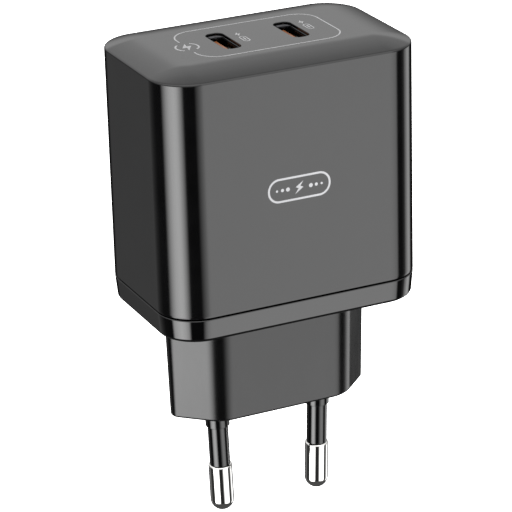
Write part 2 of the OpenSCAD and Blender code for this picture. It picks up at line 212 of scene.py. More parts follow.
def prism(name, outline, z0, z1, radii=None, seg=8):
    radii = radii or [0.0] * len(outline)
    if max(radii) <= 0:
        bm = bmesh.new()
        lo = [bm.verts.new((x * MM, y * MM, z0 * MM)) for x, y in outline]
        hi = [bm.verts.new((x * MM, y * MM, z1 * MM)) for x, y in outline]
        n = len(outline)
        for i in range(n):
            bm.faces.new((lo[i], lo[(i + 1) % n], hi[(i + 1) % n], hi[i]))
        bm.faces.new(list(reversed(lo)))
        bm.faces.new(hi)
        return to_object(bm, name, smooth=0)
    return band_solid(name, outline, radii, [(0, z0), (0, z1)], seg)


def add_box(bm, lo, hi, bevel=0.0, seg=2):
    """A box between two corners, its edges rounded by bevel, in millimetres."""
    made = bmesh.ops.create_cube(bm, size=1.0)["verts"]
    lo, hi = Vector(lo) * MM, Vector(hi) * MM
    bmesh.ops.transform(
        bm, matrix=Matrix.Translation((lo + hi) / 2) @ Matrix.Diagonal((*(hi - lo), 1.0)), verts=made
    )
    if bevel > 0:
        edges = list({e for v in made for e in v.link_edges})
        bmesh.ops.bevel(bm, geom=edges, offset=bevel * MM, segments=seg, profile=0.5, affect="EDGES", clamp_overlap=True)


def box_object(name, lo, hi, bevel=0.0, seg=2, smooth=0):
    bm = bmesh.new()
    add_box(bm, lo, hi, bevel, seg)
    return to_object(bm, name, smooth=smooth)


def boolean(ob, cutters, operation):
    """ob with each cutter joined or cut away; the cutters are removed."""
    for c in cutters:
        mod = ob.modifiers.new("b", "BOOLEAN")
        mod.operation = operation
        mod.solver = "EXACT"
        mod.object = c
        bake(ob)
        me = c.data
        bpy.data.objects.remove(c)
        bpy.data.meshes.remove(me)
    return ob


def pin_matrix(s):
    return Matrix.Translation((s * PITCH_FACE / 2 * MM, 0, 0)) @ Matrix.Rotation(s * TILT, 4, "Y")


def tidy(ob, dist=1e-7):
    bm = bmesh.new()
    bm.from_mesh(ob.data)
    bmesh.ops.remove_doubles(bm, verts=bm.verts, dist=dist)
    bmesh.ops.dissolve_degenerate(bm, dist=dist, edges=bm.edges)
    bm.to_mesh(ob.data)
    bm.free()


def give(ob, material):
    ob.data.materials.clear()
    ob.data.materials.append(material)
    return ob


# ---------------------------------------------------------------------------
# Materials
# ---------------------------------------------------------------------------
class Nodes:
    def __init__(self, name):
        self.m = bpy.data.materials.new(name)
        self.m.use_nodes = True
        self.t = self.m.node_tree
        self.bsdf = self.t.nodes["Principled BSDF"]
        self.coord = self.new("ShaderNodeTexCoord")

    def new(self, kind, **inputs):
        n = self.t.nodes.new(kind)
        for k, v in inputs.items():
            n.inputs[k].default_value = v
        return n

    def link(self, a, b):
        self.t.links.new(a, b)

    def noise(self, scale, detail=3.0, rough=0.55, stretch=None, seed=0.0):
        n = self.new("ShaderNodeTexNoise", Scale=scale, Detail=detail, Roughness=rough)
        mp = self.new("ShaderNodeMapping")
        mp.inputs["Location"].default_value = (seed, seed * 1.7, seed * 0.6)
        if stretch:
            mp.inputs["Scale"].default_value = stretch
        self.link(self.coord.outputs["Object"], mp.inputs["Vector"])
        self.link(mp.outputs["Vector"], n.inputs["Vector"])
        return n.outputs["Fac"]

    def math(self, op, a, b=None, c=None, clamp=False):
        n = self.t.nodes.new("ShaderNodeMath")
        n.operation = op
        n.use_clamp = clamp
        for i, v in enumerate((a, b, c)):
            if v is None:
                continue
            if isinstance(v, (int, float)):
                n.inputs[i].default_value = v
            else:
                self.link(v, n.inputs[i])
        return n.outputs[0]

    def remap(self, value, a0, a1, b0, b1, smooth=False):
        n = self.t.nodes.new("ShaderNodeMapRange")
        if smooth:
            n.interpolation_type = "SMOOTHSTEP"
        n.inputs["From Min"].default_value = a0
        n.inputs["From Max"].default_value = a1
        n.inputs["To Min"].default_value = b0
        n.inputs["To Max"].default_value = b1
        self.link(value, n.inputs["Value"])
        return n.outputs["Result"]

    def mix(self, fac, a, b):
        n = self.t.nodes.new("ShaderNodeMix")
        n.data_type = "RGBA"
        for sock, v in ((n.inputs[0], fac), (n.inputs[6], a), (n.inputs[7], b)):
            if isinstance(v, (int, float)):
                sock.default_value = v
            elif isinstance(v, tuple):
                sock.default_value = v if len(v) == 4 else (*v, 1.0)
            else:
                self.link(v, sock)
        return n.outputs[2]

    def xyz(self):
        n = self.new("ShaderNodeSeparateXYZ")
        self.link(self.coord.outputs["Object"], n.inputs[0])
        return n.outputs

    def bump(self, height, strength, distance, normal=None):
        n = self.new("ShaderNodeBump", Strength=strength, Distance=distance)
        self.link(height, n.inputs["Height"])
        if normal is not None:
            self.link(normal, n.inputs["Normal"])
        return n.outputs["Normal"]

    def band(self, value, centre, half, soft):
        """1 within half of centre, falling to 0 over soft."""
        d = self.math("ABSOLUTE", self.math("SUBTRACT", value, centre))
        return self.remap(d, half, half + soft, 1.0, 0.0, smooth=True)


def set_bsdf(n, **values):
    for k, v in values.items():
        k = k.replace("_", " ")
        n.bsdf.inputs[k].default_value = v


def plastic(name, base, rough, rough_var=0.03, grain=2600.0, grain_depth=2e-6, ripple=0.0, wear=(), wear_colour=None,
            wear_rough=0.12, ior=1.5, tint=0.25, level=0.5):
    """Moulded plastic: mould grain, slow ripple, handling marks in the gloss, and rubbed edges at given heights."""
    n = Nodes(name)
    set_bsdf(n, IOR=ior, Metallic=0.0, Specular_IOR_Level=level)
    light = tuple(min(1.0, c * (1 + tint) + 0.0002) for c in base)
    dark = tuple(c * (1 - tint) for c in base)
    cloud = n.noise(130.0, 4.0, 0.6)
    colour = n.mix(n.remap(cloud, 0.35, 0.65, 0.0, 1.0), dark, light)
    fine = n.noise(grain, 2.0, 0.5, seed=3.1)
    speck = n.remap(fine, 0.62, 0.75, 0.0, 1.0, smooth=True)
    colour = n.mix(n.math("MULTIPLY", speck, 0.25), colour, tuple(c * 1.8 + 0.0004 for c in base))
    smear = n.noise(220.0, 5.0, 0.65, stretch=(1.0, 1.0, 0.25), seed=7.7)
    r = n.remap(smear, 0.3, 0.7, rough - rough_var, rough + rough_var)
    if wear:
        z = n.xyz()["Z"]
        mask = None
        for height, half in wear:
            b = n.band(z, height * MM, half * MM * 0.4, half * MM)
            mask = b if mask is None else n.math("MAXIMUM", mask, b)
        shine = mask
        rub = n.remap(n.noise(900.0, 6.0, 0.7, seed=1.3), 0.45, 0.7, 0.0, 1.0, smooth=True)
        mask = n.math("MULTIPLY", mask, rub)
        colour = n.mix(n.math("MULTIPLY", mask, 0.6), colour, wear_colour or tuple(c * 2.5 + 0.002 for c in base))
        if wear_rough < 0:
            r = n.math("MAXIMUM", n.math("ADD", r, n.math("MULTIPLY", shine, wear_rough)), 0.03)
        else:
            r = n.math("ADD", r, n.math("MULTIPLY", mask, wear_rough), clamp=True)
    n.link(colour, n.bsdf.inputs["Base Color"])
    n.link(r, n.bsdf.inputs["Roughness"])
    normal = n.bump(fine, 0.35, grain_depth)
    if ripple:
        normal = n.bump(n.noise(60.0, 1.0, 0.4, seed=5.5), 0.5, ripple, normal)
    n.link(normal, n.bsdf.inputs["Normal"])
    return n.m


def metal(name, base, rough, rough_var=0.04, brushed=None, depth=1.5e-6, tarnish=None, scratches=0.0):
    """Plated or rolled metal: brushing or fine polish lines, and slow changes of tone."""
    n = Nodes(name)
    set_bsdf(n, Metallic=1.0)
    slow = n.noise(260.0, 3.0, 0.5)
    colour = n.mix(n.remap(slow, 0.3, 0.7, 0.0, 1.0), tuple(c * 0.93 for c in base), tuple(min(1.0, c * 1.04) for c in base))
    if tarnish:
        colour = n.mix(n.remap(n.noise(700.0, 5.0, 0.7, seed=2.2), 0.6, 0.8, 0.0, 0.5, smooth=True), colour, tarnish)
    lines = n.noise(900.0, 4.0, 0.7, stretch=brushed or (1.0, 1.0, 1.0), seed=4.0)
    r = n.remap(lines, 0.3, 0.7, max(0.02, rough - rough_var), rough + rough_var)
    if scratches:
        s = n.noise(500.0, 2.0, 0.4, stretch=(6.0, 6.0, 0.2), seed=9.0)
        r = n.math("ADD", r, n.remap(s, 0.62, 0.7, 0.0, scratches, smooth=True), clamp=True)
    n.link(colour, n.bsdf.inputs["Base Color"])
    n.link(r, n.bsdf.inputs["Roughness"])
    n.link(n.bump(lines, 0.3, depth), n.bsdf.inputs["Normal"])
    return n.m


CASE = plastic("case_black", (0.0011, 0.0011, 0.0012), 0.105, 0.012, grain=5200.0, grain_depth=6e-7,
               wear=((EDGE_Z + 0.1, 0.45), (PART_Z + 0.2, 0.2)), wear_rough=-0.07, level=0.41)
RING = plastic("ring_black", (0.0008, 0.0008, 0.0009), 0.06, 0.01, grain=4200.0, grain_depth=2e-7,
               wear=((RING_Z + 0.1, 0.25), (PART_Z - 0.2, 0.15)), level=0.48)
BLOCK = plastic("block_black", (0.0009, 0.0009, 0.0010), 0.19, 0.02, grain=4600.0, grain_depth=8e-7,
                wear=((0.15, 0.3),), level=0.35)
SLEEVE = plastic("sleeve_black", (0.0009, 0.0009, 0.0010), 0.10, 0.02, grain=5200.0, grain_depth=4e-7,
                 wear=((-COLLAR_LEN, 0.2), (-SLEEVE_LEN, 0.2)), level=0.45)
NICKEL = metal("pin_nickel", (0.62, 0.615, 0.60), 0.05, 0.015, brushed=(1.0, 1.0, 9.0), depth=4e-7, scratches=0.06)


# ---------------------------------------------------------------------------
# Housing
# ---------------------------------------------------------------------------
def dome(u):
    return EDGE_Z + CROWN * (1 - (1 - u / BODY_R) ** 2) - INK


def make_housing():
    rf = 0.45
    ue = INK + 0.65 * rf
    zc = dome(ue) - 0.937 * rf
    zb = PART_Z + GROOVE / 2
    profile = [(0.13, zb)] + arc(INK + 0.12, zb + 0.12, 0.12, 270, 180, 4)[1:]
    profile += [(INK, zb + 0.5), (INK, zc - 0.5)]
    profile += arc(INK + rf, zc, rf, 180, 110.5, 12)
    steps = 26
    profile += [(ue + (BODY_R - ue) * i / steps, dome(ue + (BODY_R - ue) * i / steps)) for i in range(1, steps + 1)]
    radii = [BODY_R] * 4
    ob = band_solid("housing_skin", rect(*BODY), radii, profile, seg=28)
    cavity = band_solid("c1", rect(*BODY), radii, [(WALL, PART_Z - 4), (WALL, CEIL_Z)], seg=20)
    rebate = band_solid("c2", rect(*BODY), radii, [(1.0, PART_Z - 4), (1.0, LIP_Z)], seg=20)
    boolean(ob, [cavity, rebate], "DIFFERENCE")
    in_x, in_y = BODY[0] / 2 - WALL, BODY[1] / 2 - WALL
    adds = []
    for s in (-1, 1):
        for y in (BOARD_Y - 1.05, BOARD_Y + 1.25):
            x0, x1 = (in_x - 1.5, in_x + 0.5) if s > 0 else (-in_x - 0.5, -in_x + 1.5)
            adds.append(box_object("rib", (x0, y, LIP_Z + 1.5), (x1, y + 1, PORT_BOARD_Z - 0.4)))
    for x in (-1, 1):
        for y in (-1, 1):
            adds.append(lathe("post", [(1.2, PORT_Z), (1.2, CEIL_Z + 0.5)], 32,
                              Matrix.Translation((x * (in_x - 4) * MM, y * (in_y - 4.2) * MM, 0)), smooth=0))
    boolean(ob, adds, "UNION")
    w, d, r = PORT_H + 2 * PORT_SHELL + 0.1, PORT_L + 2 * PORT_SHELL + 0.1, 1.33
    cuts = []
    for s in (-1, 1):
        top = TOP_Z - INK
        flare = [(0, CEIL_Z - 1), (0, top - 0.46), (0.13, top - 0.459), (0.13, top - 0.10)] + [
            (0.13 - 0.10 * (1 - math.cos(math.radians(a))), top - 0.10 * (1 - math.sin(math.radians(a)))) for a in (22.5, 45, 67.5, 90)
        ] + [(0.03, top + 1)]
        c = band_solid("slot", rect(w, d), [r] * 4, flare, seg=10)
        c.data.transform(Matrix.Translation((s * PORT_X * MM, 0, 0)))
        cuts.append(c)
    boolean(ob, cuts, "DIFFERENCE")
    tidy(ob)
    finish_shading(ob, 32)
    give(ob, CASE)
    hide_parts("housing")
    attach(ob, "root")
    return ob


# ---------------------------------------------------------------------------
# Base ring and plug block
# ---------------------------------------------------------------------------
PLUG_FACE = [(PLUG_W / 2 + 0.65, 0), (PLUG_FLAT, PLUG_D / 2), (-PLUG_FLAT, PLUG_D / 2), (-PLUG_W / 2 - 0.65, 0),
             (-PLUG_FLAT, -PLUG_D / 2), (PLUG_FLAT, -PLUG_D / 2)]
CORNERS = [TIP_R, FRONT_R, FRONT_R, TIP_R, FRONT_R, FRONT_R]


def make_base():
    zt = PART_Z - GROOVE / 2
    low = arc(RING_DRAFT + 0.7, RING_Z + 0.7, 0.7, 270, 184, 9)
    high = arc(0.02 + 0.15, zt - 0.15, 0.15, 186, 90, 5)
    profile = low + high + [(1.05, zt), (1.05, LIP_Z)]
    ob = band_solid("base_skin", rect(*BODY), [BODY_R] * 4, profile, seg=28)
    top = grow(PLUG_FACE, PLUG_DRAFT)
    d = PLUG_DRAFT
    foot = [(d + 0.50 * (1 - math.sin(math.radians(a))), 0.50 * (1 - math.cos(math.radians(a)))) for a in (0, 12, 24, 36, 48, 60, 72, 81, 88.5)]
    side = [(0.008, RING_Z - 0.16), (-0.015, RING_Z - 0.10), (-0.06, RING_Z - 0.04), (-0.13, RING_Z), (-0.13, RING_Z + 0.6)]
    block = band_solid("block", top, [r + d for r in CORNERS], foot + side, seg=16)
    boolean(ob, [block], "UNION")
    cuts = [
        band_solid("c1", rect(*BODY), [BODY_R] * 4, [(WALL, FLOOR_Z), (WALL, LIP_Z + 3)], seg=20),
        prism("c2", grow(PLUG_FACE, -PLUG_WALL), 2.4, FLOOR_Z + 2),
    ]
    boolean(ob, cuts, "DIFFERENCE")
    adds = [lathe("boss", [(3.4, 1.0), (3.4, BOSS_H)], 48, pin_matrix(s), smooth=0) for s in (-1, 1)]
    adds += [box_object("shelf", (s * 3 - 1.2, -PLUG_D / 2 + 1, 1), (s * 3 + 1.2, PLUG_D / 2 - 1, BOSS_H + 0.9)) for s in (-1, 1)]
    boolean(ob, adds, "UNION")
    bores = [
        lathe("bore", [(COLLAR_R + 0.21, -1), (COLLAR_R + 0.21, -0.02), (COLLAR_R + 0.15, 0.06), (COLLAR_R + 0.13, 0.5), (COLLAR_R + 0.02, 0.5), (COLLAR_R + 0.02, 4),
                       (1.52, 4), (1.52, BOSS_H + 2)], 64, pin_matrix(s), smooth=0)
        for s in (-1, 1)
    ]
    boolean(ob, bores, "DIFFERENCE")
    tidy(ob)
    finish_shading(ob, 32)
    give(ob, RING)
    ob.data.materials.append(BLOCK)
    for f in ob.data.polygons:
        f.material_index = 1 if f.center.z < (RING_Z - 0.005) * MM else 0
    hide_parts("base_cover")
    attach(ob, "root")
    return ob


# ---------------------------------------------------------------------------
# Pins and sleeves
# ---------------------------------------------------------------------------
def make_pins():
    for s, side in ((-1, "left"), (1, "right")):
        r = PIN_R
        tip = [(r * math.sin(math.radians(a)), -PIN_LEN + r - r * math.cos(math.radians(a))) for a in range(0, 91, 5)]
        body = [(r, -SLEEVE_LEN - 0.42)] + arc(r - 0.3, -SLEEVE_LEN - 0.3, 0.3, 0, 90, 6)
        tail = [(1.5, -SLEEVE_LEN), (1.5, BOSS_H + 0.02), (2.5, BOSS_H + 0.02), (2.6, BOSS_H + 0.12), (2.6, BOSS_H + 0.7),
                (2.5, BOSS_H + 0.8), (1.2, BOSS_H + 0.8), (1.2, BOSS_H + 4.1), (0.9, BOSS_H + 4.4), (0, BOSS_H + 4.4)]
        pin = lathe(f"plug_pin_{side}", tip + body + tail, 96, pin_matrix(s))
        give(pin, NICKEL)
        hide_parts(f"pin_{side}")
        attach(pin, "root")
        c, t = COLLAR_R, SLEEVE_R
        prof = [(1.52, -SLEEVE_LEN + 0.01), (t - 0.06, -SLEEVE_LEN + 0.01), (t, -SLEEVE_LEN + 0.07), (t, -COLLAR_LEN - 0.10),
                (t + 0.03, -COLLAR_LEN - 0.03), (t + 0.09, -COLLAR_LEN)]
        prof += [(c - 0.10, -COLLAR_LEN), (c - 0.03, -COLLAR_LEN + 0.03), (c, -COLLAR_LEN + 0.10), (c, 3.95), (1.52, 3.95)]
        sleeve = lathe(f"plug_sleeve_{side}", prof, 96, pin_matrix(s), closed=True)
        give(sleeve, SLEEVE)
        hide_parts(f"pin_sleeve_{side}")
        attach(sleeve, "root")


HOUSING = make_housing()
BASE_OB = make_base()
make_pins()


# ---------------------------------------------------------------------------
# Ports
# ---------------------------------------------------------------------------
def plain(name, colours, rough, metallic=0.0, scale=600.0, bump_depth=2e-6, level=0.5, fine=3000.0):
    """A general finish: slow mix of two colours, fine grain in colour, gloss and height."""
    n = Nodes(name)
    set_bsdf(n, Metallic=metallic, Specular_IOR_Level=level)
    slow, grain = n.noise(scale, 3.0, 0.55), n.noise(fine, 3.0, 0.6, seed=2.5)
    c = n.mix(n.remap(slow, 0.35, 0.65, 0.0, 1.0), colours[0], colours[1])
    c = n.mix(n.remap(grain, 0.55, 0.8, 0.0, 0.45, smooth=True), c, colours[2] if len(colours) > 2 else tuple(v * 0.6 for v in colours[0]))
    n.link(c, n.bsdf.inputs["Base Color"])
    n.link(n.remap(grain, 0.3, 0.7, max(0.03, rough - 0.06), rough + 0.06), n.bsdf.inputs["Roughness"])
    n.link(n.bump(grain, 0.4, bump_depth), n.bsdf.inputs["Normal"])
    return n.m


# painted shade: the shell's steel is coloured near black to stand in for the shade inside the ports
STEEL = metal("port_steel", (0.040, 0.040, 0.042), 0.13, 0.04, brushed=(1.0, 1.0, 6.0), depth=4e-7, scratches=0.08)
SPRING = metal("port_spring", (0.66, 0.65, 0.63), 0.10, 0.03, brushed=(1.0, 6.0, 1.0), depth=4e-7)
TONGUE = plain("tongue_brown", ((0.21, 0.070, 0.014), (0.15, 0.045, 0.009), (0.30, 0.12, 0.035)), 0.30, scale=420.0)
GOLD = metal("contact_gold", (0.83, 0.56, 0.22), 0.16, 0.05, brushed=(1.0, 1.0, 8.0), depth=5e-7)


def shift_x(ob, dx):
    ob.data.transform(Matrix.Translation((dx * MM, 0, 0)))
    return ob


def make_ports():
    w, d = PORT_H + 2 * PORT_SHELL, PORT_L + 2 * PORT_SHELL
    tz = MOUTH_Z - 0.95
    for s, side in ((-1, "left"), (1, "right")):
        x0 = s * PORT_X
        m = TOP_Z - 0.50
        prof = [(0, PORT_Z), (0, m - 0.04), (0.02, m), (0.09, m), (0.13, m - 0.04), (0.18, m - 0.15), (0.23, m - 0.32),
                (0.27, m - 0.54), (0.29, m - 0.78), (0.30, m - 1.05), (0.30, m - 3.0), (0.30, PORT_Z)]
        shell = band_solid("shell", rect(w, d), [1.28] * 4, prof, seg=12, closed=True)
        adds = []
        for x in (-1, 1):
            for y in (-1, 1):
                cx = x * (PORT_H + PORT_SHELL) / 2
                adds.append(box_object("leg", (cx - PORT_SHELL / 2, y * 3.1 - 0.5, PORT_BOARD_Z - 0.8),
                                       (cx + PORT_SHELL / 2, y * 3.1 + 0.5, PORT_Z + 1)))
            # the earthing spring pressed into each long wall
            inner = x * PORT_H / 2
            lo, hi = sorted((inner - x * 0.13, inner + x * 0.1))
            adds.append(box_object("spring", (lo, -1.65, m - 1.35), (hi, 1.65, m - 1.08), 0.05, 2))
        boolean(shell, adds, "UNION")
        shift_x(shell, x0)
        tidy(shell)
        finish_shading(shell, 35)
        shell.name = shell.data.name = f"usb_c_shell_shaped_{side}"
        give(shell, STEEL)
        shell.data.materials.append(SPRING)
        for f in shell.data.polygons:
            c = f.center / MM
            if abs(c.y) < 1.66 and m - 1.36 < c.z < m - 1.07 and abs(abs(c.x - x0) - PORT_H / 2) < 0.135 and abs(c.x - x0) < PORT_H / 2 - 0.01:
                f.material_index = 1
        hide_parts(f"usb_c_shell_{side}")
        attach(shell, "root")

        base = band_solid("tongue", rect(PORT_H - 0.04, PORT_L - 0.04), [0.96] * 4, [(0, PORT_Z), (0, PORT_Z + 3.6)], seg=10)
        step = box_object("step", (-0.65, -3.6, PORT_Z + 3), (0.65, 3.6, PORT_Z + 4.9), 0.08, 2)
        blade_prof = [(0, PORT_Z + 3), (0, tz - 0.12)] + [
            (0.12 * (1 - math.cos(math.radians(a))), tz - 0.12 + 0.12 * math.sin(math.radians(a))) for a in (30, 60, 90)]
        blade = band_solid("blade", rect(0.7, 6.69), [0.22] * 4, blade_prof, seg=5)
        tongue = boolean(base, [step, blade], "UNION")
        shift_x(tongue, x0)
        tidy(tongue)
        finish_shading(tongue, 35)
        tongue.name = tongue.data.name = f"usb_c_tongue_shaped_{side}"
        give(tongue, TONGUE)
        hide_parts(f"usb_c_tongue_{side}")
        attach(tongue, "root")

        bm = bmesh.new()
        for k in (-1, 1):
            for i in range(12):
                y = (i - 5.5) * 0.5
                a, b = sorted((x0 + k * 0.352, x0 + k * 0.41))
                add_box(bm, (a, y - 0.13, PORT_Z + 4.91), (b, y + 0.13, tz - 0.4), 0.022, 2)
        con = to_object(bm, f"usb_c_contact_rows_{side}", smooth=40)
        give(con, GOLD)
        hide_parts(f"usb_c_contacts_{side}")
        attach(con, "root")


make_ports()


# ---------------------------------------------------------------------------
# Printed and polished marks: generic signs only, no lettering
# ---------------------------------------------------------------------------
def add_strip(bm, pts, width, z0, z1, closed=False):
    """A flat strip of the given width along points in the XY plane, from z0 to z1, as a closed solid."""
    n = len(pts)
    left, right = [], []
    for i in range(n):
        p = Vector(pts[i])
        a = Vector(pts[i - 1]) if (closed or i > 0) else None
        b = Vector(pts[(i + 1) % n]) if (closed or i < n - 1) else None
        d1 = (p - a).normalized() if a is not None else (b - p).normalized()
        d2 = (b - p).normalized() if b is not None else d1
        n1, n2 = Vector((-d1.y, d1.x)), Vector((-d2.y, d2.x))
        o = (n1 + n2) / (1 + n1.dot(n2)) * width / 2
        left.append(p + o)
        right.append(p - o)
    rows = [[bm.verts.new((q.x * MM, q.y * MM, z * MM)) for q in side] for side, z in ((left, z1), (left, z0), (right, z0), (right, z1))]
    m = n if closed else n - 1
    for i in range(m):
        j = (i + 1) % n
        for a, b in ((0, 1), (1, 2), (2, 3), (3, 0)):
            bm.faces.new((rows[a][i], rows[b][i], rows[b][j], rows[a][j]))
    if not closed:
        bm.faces.new([r[0] for r in reversed(rows)])
        bm.faces.new([r[-1] for r in rows])


def add_shape(bm, pts, z0, z1):
    """A filled outline from z0 to z1 as a closed solid."""
    lo = [bm.verts.new((x * MM, y * MM, z0 * MM)) for x, y in pts]
    hi = [bm.verts.new((x * MM, y * MM, z1 * MM)) for x, y in pts]
    n = len(pts)
    for i in range(n):
        bm.faces.new((lo[i], lo[(i + 1) % n], hi[(i + 1) % n], hi[i]))
    bm.faces.new(list(reversed(lo)))
    bm.faces.new(hi)


def at(pts, cx, cy, turn=0.0, size=1.0):
    c, s = math.cos(math.radians(turn)), math.sin(math.radians(turn))
    return [(cx + size * (x * c - y * s), cy + size * (x * s + y * c)) for x, y in pts]


def round_path(w, d, r, n=10):
    out = []
    for cx, cy, a0 in ((w / 2 - r, -d / 2 + r, -90), (w / 2 - r, d / 2 - r, 0), (-w / 2 + r, d / 2 - r, 90), (-w / 2 + r, -d / 2 + r, 180)):
        out += arc(cx, cy, r, a0, a0 + 90, n)
    return out


BOLT = [(0.35, 2.0), (-1.05, -0.25), (-0.12, -0.25), (-0.45, -2.0), (1.05, 0.45), (0.1, 0.45)]
PRINT = plain("print_grey", ((0.27, 0.27, 0.275), (0.23, 0.23, 0.235), (0.34, 0.34, 0.345)), 0.45, scale=900.0, bump_depth=1e-6)


def make_print():
    z0, z1 = TOP_Z - INK - 0.004, TOP_Z
    bm = bmesh.new()
    path = round_path(24.8, 14.5, 3.6, 12)
    # start the frame line just past the gap in its left side
    start = max(i for i, p in enumerate(path) if p[0] < -12.3 and p[1] > 0)
    line = path[start + 1:] + path[:start + 1]
    line = [(-12.4, -3.2)] + [p for p in line if p[1] < -3.64 or p[0] > -12.39 or p[1] > 3.64] + [(-12.4, 2.5)]
    add_strip(bm, line, 0.25, z0, z1)
    frame_line = to_object(bm, "port_frame_line", smooth=20)
    give(frame_line, PRINT)
    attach(frame_line, "root")

    bm = bmesh.new()
    add_shape(bm, at(BOLT, -12.3, -0.25, 0, 0.85), z0, z1)
    for k in (-1, 1):
        add_strip(bm, at(arc(0, 0, 1.85, 90 + k * 34, 90 + k * 146, 10), -12.3, -0.25), 0.3, z0, z1)
    sign = to_object(bm, "power_sign", smooth=20)
    give(sign, PRINT)
    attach(sign, "root")

    for s, side in ((-1, "left"), (1, "right")):
        bm = bmesh.new()
        cx, cy = (PORT_X + 3.1, 1.2) if s > 0 else (-PORT_X + 3.4, 0.45)
        add_strip(bm, at(round_path(1.0, 2.6, 0.49, 8), cx, cy - 1.2), 0.19, z0, z1, closed=True)
        add_strip(bm, [(cx, cy - 1.85), (cx, cy - 0.55)], 0.24, z0, z1)
        add_shape(bm, at(BOLT, cx, cy + 1.45, 0, 0.48), z0, z1)
        port_sign = to_object(bm, f"port_sign_{side}", smooth=20)
        give(port_sign, PRINT)
        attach(port_sign, "root")


INLAY = metal("mark_polished", (0.20, 0.20, 0.205), 0.22, 0.04, brushed=(1.0, 1.0, 1.0), depth=3e-7)


def make_front_mark():
    y0, y1 = BODY[1] / 2 - INK - 0.004, BODY[1] / 2
    bm = bmesh.new()
    add_strip(bm, round_path(10.6, 3.7, 1.8, 14), 0.34, y0, y1, closed=True)
    add_shape(bm, at(BOLT, 0.0, 0.0, -24, 0.62), y0, y1)
    for k in (-1, 1):
        for i, r in enumerate((0.34, 0.27, 0.20)):
            add_shape(bm, arc(k * (2.0 + 0.95 * i), 0, r, 0, 345, 23), y0, y1)
    # drawn in XY with its thickness along Z; stand it up on the front face
    turn = Matrix(((1, 0, 0, 0), (0, 0, -1, 0), (0, 1, 0, 0), (0, 0, 0, 1)))
    bmesh.ops.transform(bm, matrix=Matrix.Translation((-0.3 * MM, 0, 41.8 * MM)) @ turn, verts=bm.verts)
    mark = to_object(bm, "front_mark", smooth=20)
    give(mark, INLAY)
    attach(mark, "root")


make_print()
make_front_mark()


# ---------------------------------------------------------------------------
# Inside: the CAD nodes keep their shape and get their own finishes
# ---------------------------------------------------------------------------
def wave(n, axis, pitch, warp=0.0):
    """0 to 1 bands that repeat every pitch millimetres along an axis."""
    v = n.math("MULTIPLY", n.xyz()[axis], 2 * math.pi / (pitch * MM))
    if warp:
        v = n.math("ADD", v, n.math("MULTIPLY", n.noise(300.0, 2.0, 0.5, seed=6.0), warp))
    return n.math("ADD", n.math("MULTIPLY", n.math("SINE", v), 0.5), 0.5)


def winding(name, base, axis, pitch, rough=0.16):
    """Turns of enamelled wire, side by side, with painted shade darkening the grooves between turns."""
    n = Nodes(name)
    set_bsdf(n, Metallic=0.85, Coat_Weight=0.6, Coat_Roughness=0.12)
    turns = wave(n, axis, pitch, 1.2)
    tone = n.noise(240.0, 3.0, 0.6)
    c = n.mix(n.remap(tone, 0.3, 0.7, 0.0, 1.0), tuple(v * 0.8 for v in base), tuple(min(1.0, v * 1.1) for v in base))
    # painted shade: the colour falls to 0.18 of the wire's in the grooves between turns
    c = n.mix(n.remap(turns, 0.0, 0.3, 0.75, 0.0, smooth=True), c, tuple(v * 0.18 for v in base))
    n.link(c, n.bsdf.inputs["Base Color"])
    n.link(n.remap(n.noise(2200.0, 3.0, 0.6), 0.3, 0.7, rough - 0.05, rough + 0.08), n.bsdf.inputs["Roughness"])
    n.link(n.bump(turns, 0.8, pitch * 0.2 * MM), n.bsdf.inputs["Normal"])
    return n.m


def board(name, u, v):
    """Printed board: solder mask over tracks, tinned pads on a 2.5 mm grid, woven core below."""
    n = Nodes(name)
    set_bsdf(n, Metallic=0.0, Coat_Weight=0.3, Coat_Roughness=0.1)
    ax = n.xyz()
    mask_tone = n.noise(150.0, 3.0, 0.5)
    c = n.mix(n.remap(mask_tone, 0.3, 0.7, 0.0, 1.0), (0.008, 0.072, 0.030), (0.012, 0.105, 0.045))
    wander = n.noise(95.0, 1.0, 0.3, stretch=(1.0, 1.0, 1.0), seed=11.0)
    stripe = n.math("FRACT", n.math("ADD", n.math("MULTIPLY", ax[u], 1 / (1.4 * MM)), n.math("MULTIPLY", wander, 5.0)))
    track = n.remap(n.math("ABSOLUTE", n.math("SUBTRACT", stripe, 0.5)), 0.17, 0.21, 1.0, 0.0, smooth=True)
    c = n.mix(n.math("MULTIPLY", track, 0.8), c, (0.022, 0.165, 0.070))

    def cell(axis):
        return n.math("SUBTRACT", n.math("FRACT", n.math("MULTIPLY", ax[axis], 1 / (2.5 * MM))), 0.5)

    a, b = cell(u), cell(v)
    d = n.math("SQRT", n.math("ADD", n.math("MULTIPLY", a, a), n.math("MULTIPLY", b, b)))
    pad = n.remap(d, 0.17, 0.19, 1.0, 0.0, smooth=True)
    some = n.remap(n.noise(190.0, 0.0, 0.5, seed=21.0), 0.52, 0.54, 0.0, 1.0, smooth=True)
    pad = n.math("MULTIPLY", pad, some)
    c = n.mix(pad, c, (0.62, 0.62, 0.60))
    weave = n.math("MULTIPLY", wave(n, u, 0.45), wave(n, v, 0.45))
    n.link(c, n.bsdf.inputs["Base Color"])
    n.link(pad, n.bsdf.inputs["Metallic"])
    n.link(n.remap(mask_tone, 0.3, 0.7, 0.20, 0.32), n.bsdf.inputs["Roughness"])
    first = n.bump(weave, 0.3, 6e-6)
    n.link(n.bump(n.math("MAXIMUM", track, pad), 0.6, 3e-5, first), n.bsdf.inputs["Normal"])
    return n.m


